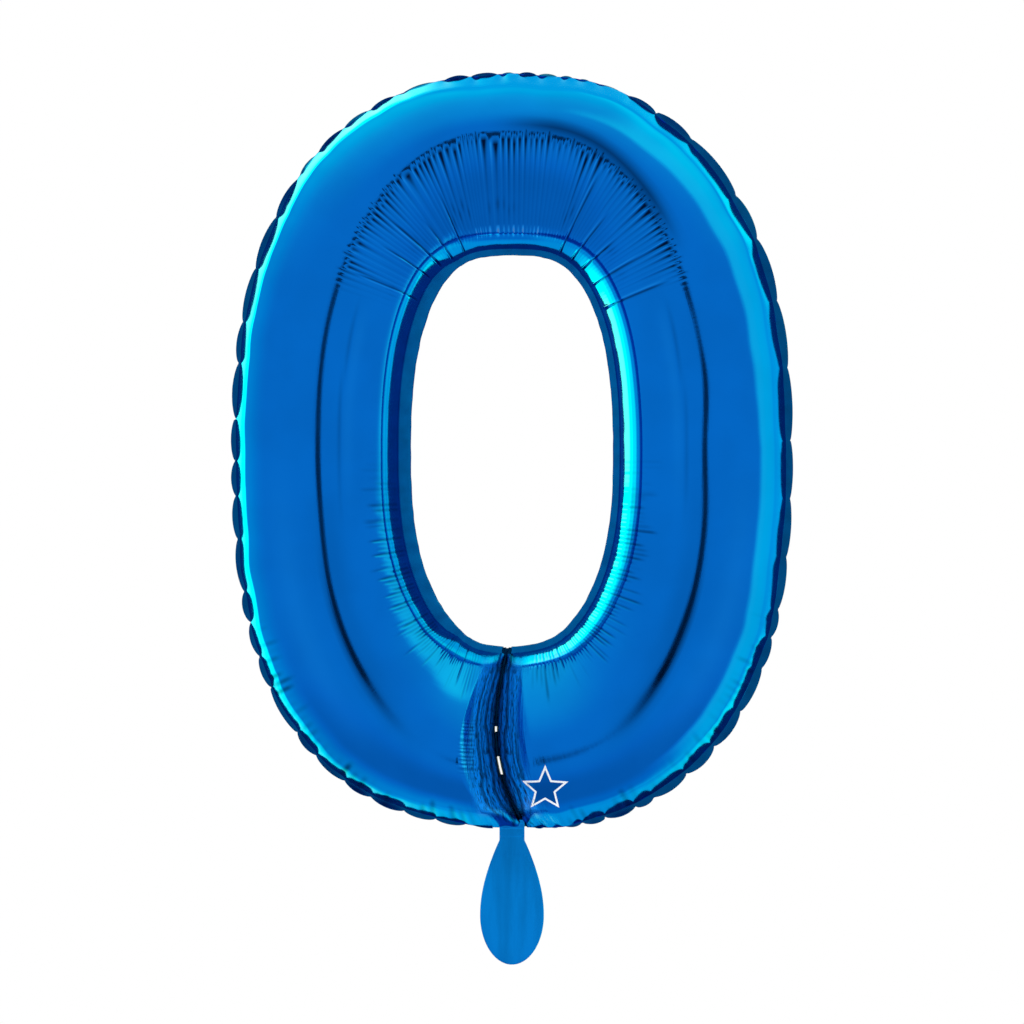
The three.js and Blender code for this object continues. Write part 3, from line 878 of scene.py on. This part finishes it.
def rim_pleats(ring, arcs, r, outward):
    """Short puckers of the inner edge on the lower bends, like fine comb teeth."""
    p = settings().pleats
    rng = np.random.default_rng(p.seed + 21)
    pitch = 0.0062
    place = arcs / pitch + 0.3 * wander(arcs, 0.04, p.seed + 22)
    count = int(ring.length / pitch) + 3
    deep = rng.uniform(0.2, 1.0, count) ** 1.5
    index = np.clip(np.floor(place).astype(int), 0, count - 1)
    ridge = 0.5 - 0.5 * np.cos(2 * math.pi * (place - np.floor(place)))
    slit = ring.from_slit(arcs)
    window = soft_step(slit, 0.03, 0.06) * (1 - soft_step(slit, 0.36, 0.46))
    start = 0.48 + 0.25 * rng.uniform(0, 1, count)[index][:, None]
    band = soft_step(r, start, start + 0.12) * (1 - soft_step(r, 0.965, 0.995))
    return np.where(outward, 0.0, 0.0005 * (deep[index] * ridge * window)[:, None] * band)


def outer_pleats(ring, arcs, r, outward):
    """Short puckers of the outer edge on the lower bends, deeper on the left."""
    p = settings().pleats
    rng = np.random.default_rng(p.seed + 25)
    pitch = 0.0070
    place = arcs / pitch + 0.3 * wander(arcs, 0.04, p.seed + 26)
    count = int(ring.length / pitch) + 3
    deep = rng.uniform(0.15, 1.0, count) ** 1.5
    index = np.clip(np.floor(place).astype(int), 0, count - 1)
    ridge = 0.5 - 0.5 * np.cos(2 * math.pi * (place - np.floor(place)))
    slit = ring.from_slit(arcs)
    side = np.where(arcs > ring.length / 2, 1.0, 0.6)
    window = side * soft_step(slit, 0.03, 0.06) * (1 - soft_step(slit, 0.22, 0.30))
    start = 0.62 + 0.2 * rng.uniform(0, 1, count)[index][:, None]
    band = soft_step(r, start, start + 0.14) * (1 - soft_step(r, 0.975, 1.0))
    return np.where(outward, 0.0007 * (deep[index] * ridge * window)[:, None] * band, 0.0)


def cusps(ring, start):
    """Arc lengths of the outer edge's cusps: close together in the bends, far apart on the straights."""
    p = settings().pleats
    rng = np.random.default_rng(p.seed + 31)
    places = [start]
    while places[-1] < ring.length - start:
        bent = float(ring.bent(np.array([places[-1]]))[0])
        slit = min(places[-1], ring.length - places[-1])
        weight = max(bent**1.2, 0.55 * float(soft_step(-slit, -0.45, -0.25)))
        step = p.scallop_long + (p.scallop_short - p.scallop_long) * weight
        if places[-1] < ring.length / 2:
            step *= p.scallop_right + (p.scallop_right_long - p.scallop_right) * (1 - weight)
        places.append(places[-1] + step * rng.uniform(0.62, 1.35))
    places[-1] = ring.length - start
    return np.array(places)


def cusp_dents(ring, arcs, offset, outward, places, outer):
    """Dents that run from each cusp a little way into the tube's outer side, like a pinch."""
    p = settings().pleats
    rng = np.random.default_rng(p.seed + 41)
    total = np.zeros_like(offset)
    inward = outer - offset
    for place in places[1:-1]:
        wide = rng.uniform(0.0022, 0.0042)
        far = rng.uniform(0.008, 0.022)
        deep = rng.uniform(0.5, 1.0) * 0.0016 * (0.35 + 0.65 * float(ring.bent(np.array([place]))[0]))
        aside = (arcs[:, None] - place) / (wide * (1 + 1.5 * np.maximum(inward, 0) / far))
        total += deep * np.exp(-(aside**2)) * np.exp(-np.maximum(inward, 0) / far)
    return np.where(outward, total, 0.0)


def slack(arcs, offset, seed):
    """Broad unevenness of a tight film: two slow waves along it and one across, under half a millimetre."""
    strength = wander(arcs, 0.09, seed)[:, None]
    slow = strength * np.sin(offset * 55.0 + 2 * wander(arcs, 0.2, seed + 1)[:, None])
    return 0.0005 * slow


def wall_wrinkles(ring, arcs, across, seed):
    """Wrinkles of the two walls in the slit: sharp folds along the slit that wander and fade up the
    walls. Each is one less the size of a sine."""
    rng = np.random.default_rng(seed)
    away = (ring.from_slit(arcs) - ring.s.film_start)[:, None]
    total = np.zeros((len(arcs), len(across)))
    for _ in range(5):
        wave = rng.uniform(0.008, 0.016)
        drift = 0.006 * wander(across, 0.35, rng.integers(1000))[None, :]
        phase = rng.uniform(0, math.pi)
        total += rng.uniform(0.3, 0.7) * (1 - np.abs(np.sin((away + drift) / wave * math.pi + phase)))
    return 0.0007 * total * (1 - soft_step(away, 0.016, 0.042))


def film_piece(name, side, material):
    """One whole film of the ring: the blown-up surface, less its folds along its own normal."""
    ring = Ring()
    s = ring.s
    start = s.film_start
    pleats = settings().pleats
    arcs = film_arcs(ring, start, pleats)
    across = section_shares(count_outer=20, count_inner=38)
    points, offset, crest, r, outward = film_surface(ring, arcs, across)
    outer = ring.outer_edge(arcs)[:, None]
    seed = pleats.seed + (0 if side < 0 else BACK_SEED)
    sunk, painted_light = arch_pleats(ring, arcs, offset, crest, r, outward)
    creases, crease_painted_light = long_creases(ring, arcs, offset, crest, r, outward)
    puckers = rim_pleats(ring, arcs, r, outward) + outer_pleats(ring, arcs, r, outward)
    sunk += creases + puckers
    # Painted shade in the puckers, and the painted light of the pleats, creases and bands.
    painted_light += crease_painted_light + PUCKER_SHADE_PER_METRE * puckers + painted_light_bands(ring, arcs, offset, crest)
    wall_painted_light = painted_wall_streaks(ring, arcs, across, seed + 3)
    # The slit's walls take their own painted streaks instead.
    painted_light = np.where(wall_painted_light != 0, wall_painted_light, painted_light)
    pale = painted_glint_bands(ring, arcs, outer - offset, r, outward, float(side < 0))
    # The painted glint bands, a painted highlight, pushed past the other painted light.
    painted_light = np.clip(painted_light, -2.0, 1.0) - 2.0 * pale * (1 - np.clip(painted_light, 0.0, 1.0))
    sunk += cusp_dents(ring, arcs, offset, outward, cusps(ring, start), outer)
    sunk += slack(arcs, offset, seed) * np.sqrt(np.maximum(1 - r**4, 0))
    sunk += wall_wrinkles(ring, arcs, across, seed) * np.sqrt(np.maximum(1 - r**6, 0))
    fade_end = soft_step(ring.from_slit(arcs) - start, 0.0, 0.004)[:, None]
    normal = grid_normals(points)
    facing_front = -1.0 if normal[..., 1].mean() > 0 else 1.0
    points = points - facing_front * normal * (sunk * fade_end)[:, :, None]
    if side > 0:
        points = points * np.array([1.0, -1.0, 1.0])
    uv = np.stack([arcs[:, None] + 0 * offset, offset], -1)
    quads = grid_faces(len(arcs), len(across), flip=side > 0)
    return new_piece(name, points, quads, material, uv, True, np.clip(painted_light, -2.0, 1.0))


# ---- Sealed edges ----


def plate(name, middle, thickness, material, uv=None):
    """A closed plate round a grid of middle points: it stands half its thickness off each way along
    the grid's normal, and its rim is closed."""
    rows, columns = middle.shape[:2]
    normal = grid_normals(middle)
    front = middle - normal * thickness / 2
    back = middle + normal * thickness / 2
    ring_points = np.concatenate([front, back[:, ::-1]], axis=1)
    wide = columns * 2
    i = np.arange(rows - 1)[:, None]
    j = np.arange(wide)[None, :]
    after = (j + 1) % wide
    quads = np.stack([i * wide + j, (i + 1) * wide + j, (i + 1) * wide + after, i * wide + after], -1)
    quads = quads.reshape(-1, 4)
    k = np.arange(columns - 1)
    near = np.stack([k, k + 1, wide - 2 - k, wide - 1 - k], -1)
    last = (rows - 1) * wide
    far = np.stack([last + wide - 1 - k, last + wide - 2 - k, last + k + 1, last + k], -1)
    side = np.tile((np.arange(wide) != columns - 1) & (np.arange(wide) != wide - 1), rows - 1)
    smooth = np.concatenate([side, np.zeros(2 * len(k), bool)])
    quads = np.concatenate([quads, near, far])
    spread = None
    if uv is not None:
        spread = np.concatenate([uv, uv[:, ::-1]], axis=1)
    made = new_piece(name, ring_points, quads, material, spread, smooth)
    face_out(made)
    return made


def face_out(made):
    """Turns every face of a closed mesh outwards if the mesh is inside out."""
    mesh = made.data
    mesh.calc_loop_triangles()
    corners = np.empty(len(mesh.loop_triangles) * 3, np.int32)
    mesh.loop_triangles.foreach_get("vertices", corners)
    points = np.empty(len(mesh.vertices) * 3, np.float32)
    mesh.vertices.foreach_get("co", points)
    a, b, c = points.reshape(-1, 3)[corners.reshape(-1, 3)].transpose(1, 0, 2)
    if np.einsum("ij,ij->", a, np.cross(b, c)) < 0:
        mesh.flip_normals()


def outer_flange(material):
    """The sealed edge outside: scallops between cusps. Each scallop's rim is an arch, and its sheet
    curls a little to the front or the back."""
    ring = Ring()
    s = ring.s
    p = settings().pleats
    start = s.slit_gap / 2 + s.end_seam
    places = cusps(ring, start)
    rng = np.random.default_rng(p.seed + 51)
    count = 1400
    arcs = np.linspace(start, ring.length - start - 0.024, count)
    index = np.clip(np.searchsorted(places, arcs, side="right") - 1, 0, len(places) - 2)
    share = (arcs - places[index]) / (places[index + 1] - places[index])
    arch = np.sin(math.pi * share) ** 0.55
    curl = rng.uniform(0.3, 1.0, len(places)) * rng.choice([-1.0, 1.0], len(places), p=[0.45, 0.55])
    drawn = rng.uniform(0.6, 1.25, len(places))
    bent = np.maximum(ring.bent(arcs), 0.3)
    rows = np.linspace(0, 1, 9)[None, :]
    root = (ring.outer_edge(arcs) - 0.002)[:, None]
    straight = 1 - soft_step(ring.bent(arcs), 0.0, 0.5)
    shallow = 1 - 0.45 * straight * soft_step(ring.length / 2 - arcs, 0.0, 0.2)
    rim = ring.stroke(arcs) / 2 - p.scallop_depth * shallow * drawn[index] * (1 - arch)
    offset = root + rows * (np.maximum(rim[:, None], root + 0.001) - root)
    x, z = ring.plane(arcs[:, None] + 0 * offset, offset)
    wave = p.scallop_curl * (curl[index] * np.sin(math.pi * share) * bent)[:, None] * rows**1.6
    ripple = 0.0005 * np.sin(arcs / 0.0021)[:, None] * (bent[:, None] ** 2) * rows
    ripple = ripple * (0.5 + 0.5 * wander(arcs, 0.02, p.seed + 52)[:, None])
    middle = np.stack([x, wave + ripple, z], -1)
    uv = np.stack([arcs[:, None] + 0 * offset, offset], -1)
    return plate("outer_flange", middle, SEAM_SHEET, material, uv)


def inner_flange(material):
    """The sealed edge round the hole: taut, with a slight wave."""
    ring = Ring()
    s = ring.s
    start = s.slit_gap / 2 + s.end_seam
    arcs = np.linspace(start, ring.length - start, 900)
    rows = np.linspace(0, 1, 7)[None, :]
    root = (ring.inner_edge(arcs) - 0.001)[:, None]
    rim = ring.stroke(arcs) / 2 - 0.0006 * (0.5 + 0.5 * wander(arcs, 0.012, settings().pleats.seed + 61))
    offset = -(root + rows * (rim[:, None] - root))
    x, z = ring.plane(arcs[:, None] + 0 * offset, offset)
    wave = 0.0008 * wander(arcs, 0.016, settings().pleats.seed + 62)[:, None] * rows
    middle = np.stack([x, wave, z], -1)
    uv = np.stack([arcs[:, None] + 0 * offset, offset], -1)
    return plate("inner_flange", middle, SEAM_SHEET, material, uv)


def end_seam(name, right_side, material):
    """One end's sealed edge in the slit: a narrow crinkled band from the bottom edge to the hole."""
    ring = Ring()
    s = ring.s
    seed = settings().pleats.seed + (71 if right_side else 81)
    height = float(ring.stroke(np.array([0.0]))[0])
    rise = np.linspace(0.001, height - 0.001, 260)
    rows = np.linspace(0, 1, 6)[None, :]
    reach = s.end_seam + 0.0012
    near = s.slit_gap / 2 - 0.0006 + 0.0006 * wander(rise, 0.006, seed)[:, None]
    away = near + rows * (reach + 0.0006)
    arc = away if right_side else ring.length - away
    x, z = ring.plane(arc, ring.stroke(arc) / 2 - rise[:, None])
    crinkle = 0.0012 * wander(rise, 0.007, seed + 1) + 0.0006 * wander(rise, 0.0026, seed + 2)
    middle = np.stack([x, crinkle[:, None] * (1 - 0.6 * rows), z], -1)
    return plate(name, middle, SEAM_SHEET, material)


def weld(name, node, material):
    """A weld that ties the two ends: a crumpled strip over the slit, as long as its frame node."""
    ring = Ring()
    s = ring.s
    low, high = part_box(node)
    seed = settings().pleats.seed + 91 + int(low.z * 1000)
    rise = np.linspace(low.z - 0.0012, high.z + 0.0012, max(12, int((high.z - low.z) / 0.0012)))
    rows = np.linspace(-1, 1, 9)[None, :]
    half = s.slit_gap / 2 + 0.0012
    side = half * rows * (1 + 0.12 * wander(rise, 0.004, seed)[:, None])
    x, z = ring.plane(0 * rise, ring.stroke(np.zeros(1)) / 2 - rise)
    pucker = 0.0014 * wander(rise, 0.0055, seed + 1)[:, None] * (1 - rows**2)
    cross = 0.0006 * wander(rise, 0.0022, seed + 2)[:, None] * rows
    middle = np.stack([x[:, None] + side, pucker + cross, z[:, None] + 0 * side], -1)
    return plate(name, middle, SEAM_SHEET, material)


# ---- Neck and tail ----


def tail_half_width(below):
    """Half the width below the bottom edge: straight down the neck, a quarter wave out to the widest
    place, and half an ellipse to the tip."""
    seal = 0.0033
    neck_half = node_size("neck_front_film", 0) / 2 + seal
    wide = node_size("front_leaf", 0) / 2
    neck_end = -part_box("neck_front_film")[0].z
    tip = -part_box("front_leaf")[0].z + 0.0001
    widest = 0.100
    flare = np.clip((below - neck_end) / (widest - neck_end), 0.0, 1.0)
    out = neck_half + (wide - neck_half) * np.sin(math.pi / 2 * flare) ** 0.93
    round_off = np.clip((below - widest) / (tip - widest), 0.0, 1.0)
    return np.where(below > widest, wide * np.sqrt(np.maximum(1 - round_off**2, 0.0)), out)


def tail_sheet(name, side, top, bottom, material, tuck=0.0):
    """A stretch of the front or back film of the neck and tail, as a thin closed plate. The sheet
    lies a hair off the middle plane, bows out softly between its sealed edges, and curls back evenly
    towards its tip. Its top is tucked behind the stretch above, and above the ring's bottom edge it
    stands further out."""
    tip = -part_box("front_leaf")[0].z
    top = top - tuck
    steps = max(10, int((bottom - top) / 0.001))
    below = np.linspace(top, bottom, steps)
    if bottom >= tip - 1e-6:
        turn = np.linspace(0, 1, steps)
        below = top + (bottom - 0.00004 - top) * np.sin(turn * math.pi / 2)
    rows = np.linspace(-1, 1, 33)[None, :]
    half = np.maximum(tail_half_width(below), 0.0009)[:, None]
    x = half * rows
    swell = 0.0011 * np.sqrt(np.clip(below - 0.002, 0, 0.05) / 0.05)[:, None] * (1 - rows**2) ** 0.8
    fold = 0.0006 * np.exp(-(((x + 0.004) / 0.006) ** 2)) * soft_step(below, 0.02, 0.08)[:, None]
    proud = 0.0030 * soft_step(-below, 0.0, 0.005)[:, None]
    tucked = 0.00025 * (1 - soft_step(below - top, 0.7 * tuck, 1.6 * tuck + 1e-6))[:, None] * (tuck > 0)
    curl = 0.0075 * (np.clip(below - 0.03, 0, None) / 0.127)[:, None] ** 2
    y = side * (0.00022 + swell * 0.6 + proud - tucked) - fold + curl
    middle = np.stack([x, y, -below[:, None] + 0 * x], -1)
    return plate(name, middle, TAIL_SHEET, material)


# ---- Operators ----


class BalloonOperator(bpy.types.Operator):
    """Shared setting of the balloon's operators."""

    bl_options = {"REGISTER", "UNDO"}


def material_named(name, make):
    """A material by its name, made the first time it is asked for."""
    return bpy.data.materials.get(name) or make(name)


class BALLOON_OT_stage(BalloonOperator):
    """Makes the camera, the light all round and the floor"""

    bl_idname = "balloon.stage"
    bl_label = "Stage"

    def execute(self, context):
        self.make_camera(context)
        self.make_light(context)
        self.make_floor()
        return {"FINISHED"}

    def make_camera(self, context):
        """A long lens straight in front of the ring."""
        s = settings().stage
        data = bpy.data.cameras.new("camera")
        data.lens = s.lens
        camera = bpy.data.objects.new("camera", data)
        distance = s.view_size * s.lens / data.sensor_width
        camera.location = (0.0, -distance, s.view_height)
        camera.rotation_euler = (math.pi / 2, 0.0, 0.0)
        context.scene.collection.objects.link(camera)
        context.scene.camera = camera
        data.clip_end = 60.0

    def make_light(self, context):
        """A round studio of soft light, by direction: dim in front, a panel on the right, a bright
        backdrop behind, a soft ceiling, and one small dark spot where the lens looks out."""
        s = settings().stage
        context.scene.view_settings.view_transform = "Standard"
        world = bpy.data.worlds.new("studio")
        context.scene.world = world
        world.use_nodes = True
        board = Board(world.node_tree)
        toward = board.out(board.node("ShaderNodeTexCoord"), "Generated")
        x, y, z = board.split(toward)
        raised = y + 0.5 * board.math("MAXIMUM", z, 0.0)
        right = board.smooth(raised, -0.26, -0.08) * board.smooth(x, 0.05, 0.3)
        right = right * board.smooth(z, 0.92, 0.7) * board.smooth(z, -0.85, -0.6)
        left = board.smooth(y, -0.3, 0.6) * board.smooth(x, 0.0, -0.2)
        behind = board.smooth(y, 0.62, 0.72)
        tilted = z + 0.9 * board.math("MINIMUM", x, 0.0)
        height = board.smooth(tilted, 0.55, 0.25) * board.smooth(z, -0.6, -0.3)
        height = height * board.smooth(x, 0.57, 0.48, 0.05, 1.0)
        ceiling = board.smooth(z, 0.25, 0.95) * (0.45 + 0.75 * board.smooth(y, -0.6, 0.6))
        ground = board.smooth(z, -0.2, -0.75) * board.smooth(y, 0.3, -0.3)
        level = s.front_light + (s.side_light - s.front_light) * right + 0.4 * left + ceiling - 0.16 * ground
        backdrop = 1.2 + (s.back_light - 1.2) * height + 0.5 * board.smooth(z, 0.35, 0.8)
        level = level * (1.0 - behind) + backdrop * behind
        lens_spot = board.smooth(-y, 0.9950, 0.9986)
        level = level * (1.0 - 0.93 * lens_spot)
        blue = board.math("MINIMUM", 1.13 * level**-0.66, 1.8)
        rays = board.node("ShaderNodeLightPath")
        seen = board.out(rays, "Is Camera Ray")
        plain = board.math("MAXIMUM", seen, board.out(rays, "Is Diffuse Ray"))
        blue = blue * (1.0 - plain) + plain
        level = level * (1.0 - seen) + seen
        white = board.node("ShaderNodeCombineColor", None, Red=1.0, Green=1.0, Blue=blue)
        shade = board.node("ShaderNodeBackground", None, Color=board.out(white), Strength=level)
        board.node("ShaderNodeOutputWorld", None, Surface=board.out(shade))
        world.cycles.sampling_method = "NONE"

    def make_floor(self):
        """A square floor well below the tail, out of the picture in front and in view from above."""
        s = settings().stage
        half = s.floor_size / 2
        low = FRAME_BOUNDS[0].z - s.floor_drop
        corner = np.linspace(-half, half, FLOOR_POINTS)
        x, y = np.meshgrid(corner, corner, indexing="ij")
        points = np.stack([x, y, 0 * x + low], -1)
        floor = new_piece("floor", points, grid_faces(FLOOR_POINTS, FLOOR_POINTS), floor_material())
        floor.visible_glossy = False


class BALLOON_OT_films(BalloonOperator):
    """Makes the front and back films of the ring"""

    bl_idname = "balloon.films"
    bl_label = "Films"

    def execute(self, context):
        tint = tuple(settings().colours.film)
        front = film_piece("front_skin", -1, film_material("printed_foil", tint, True))
        back = film_piece("back_skin", 1, film_material("plain_foil", tint, False))
        for piece, node in ((front, "front_film"), (back, "back_film")):
            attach(piece, "balloon")
            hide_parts(node)
        return {"FINISHED"}


class BALLOON_OT_seams(BalloonOperator):
    """Makes the sealed edges, and the welds that tie the tube's two ends"""

    bl_idname = "balloon.seams"
    bl_label = "Seams"

    def execute(self, context):
        sealed = material_named("pressed_foil", seam_material)
        # Brighter copy as painted light round the hole; darker copy as painted shade in the slit.
        rim = seam_material("pressed_foil_painted_light", 1.5)
        dim = seam_material("pressed_foil_painted_shade", 0.25)
        made = [
            (outer_flange(sealed), "outer_seam"),
            (inner_flange(rim), "inner_seam"),
            (end_seam("right_end_band", True, dim), "right_end_seam"),
            (end_seam("left_end_band", False, dim), "left_end_seam"),
        ]
        for part in ("lower", "middle", "upper"):
            node = f"join_weld_{part}"
            made.append((weld(f"tie_{part}", node, dim), node))
        for piece, node in made:
            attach(piece, "balloon")
            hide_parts(node)
        return {"FINISHED"}


class BALLOON_OT_tail(BalloonOperator):
    """Makes the neck, the tail and its two leaves, each later stretch tucked behind the one above"""

    bl_idname = "balloon.tail"
    bl_label = "Neck and tail"

    def execute(self, context):
        film = material_named("satin_film", tail_material)
        neck_low, neck_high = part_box("neck_front_film")
        tail_low, tail_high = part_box("tail_front_film")
        leaf_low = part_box("front_leaf")[0]
        mid_neck = -(neck_low.z + neck_high.z) / 2
        mid_tail = -(tail_low.z + tail_high.z) / 2
        for side, word in ((-1, "front"), (1, "back")):
            root = tail_sheet(f"neck_root_{word}", side, -0.010, mid_neck, film)
            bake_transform(root)
            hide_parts(f"throat_{word}_film", f"neck_{word}_film")
            waist = tail_sheet(f"waist_{word}", side, mid_neck, mid_tail, film, 0.002)
            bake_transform(waist)
            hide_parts(f"tail_{word}_film")
            leaf = tail_sheet(f"{word}_leaf_sheet", side, mid_tail, -leaf_low.z, film, 0.002)
            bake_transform(leaf)
            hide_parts(f"{word}_leaf")
        return {"FINISHED"}


class BALLOON_OT_valve(BalloonOperator):
    """Gives the valve, its ink and the small seals their finishes"""

    bl_idname = "balloon.valve"
    bl_label = "Valve and small seals"

    def execute(self, context):
        finishes = {
            "valve_film": material_named("clear_film", valve_material),
            "release_ink": material_named("matte_ink", ink_material),
            "sealed_foil": material_named("pressed_foil", seam_material),
            "tail_film": material_named("satin_film", tail_material),
        }
        for part in frame["record"]["subparts"]:
            if part["material_slot"] not in finishes:
                continue
            data = frame["nodes"][part["node"]].data
            data.materials.clear()
            data.materials.append(finishes[part["material_slot"]])
        return {"FINISHED"}


class BALLOON_PT_panel(bpy.types.Panel):
    """The balloon's operators, in the order they run in."""

    bl_label = "Foil Number Balloon"
    bl_idname = "BALLOON_PT_panel"
    bl_space_type = "VIEW_3D"
    bl_region_type = "UI"
    bl_category = "Balloon"

    def draw(self, context):
        for operator in STEPS:
            self.layout.operator(operator.bl_idname)


STEPS = (BALLOON_OT_stage, BALLOON_OT_films, BALLOON_OT_seams, BALLOON_OT_tail, BALLOON_OT_valve)
GROUPS = (RingSettings, PleatSettings, ColourSettings, MarkSettings, StageSettings, BalloonSettings)
CLASSES = (*GROUPS, *STEPS, BALLOON_PT_panel)


def register():
    """Registers the classes and the scene's settings."""
    for kind in CLASSES:
        bpy.utils.register_class(kind)
    bpy.types.Scene.balloon = PointerProperty(type=BalloonSettings)


def unregister():
    """Takes the settings and the classes away again."""
    del bpy.types.Scene.balloon
    for kind in reversed(CLASSES):
        bpy.utils.unregister_class(kind)


def main():
    """Builds everything in order."""
    register()
    bpy.ops.balloon.stage()
    bpy.ops.balloon.films()
    bpy.ops.balloon.seams()
    bpy.ops.balloon.tail()
    bpy.ops.balloon.valve()


if __name__ == "__main__":
    main()
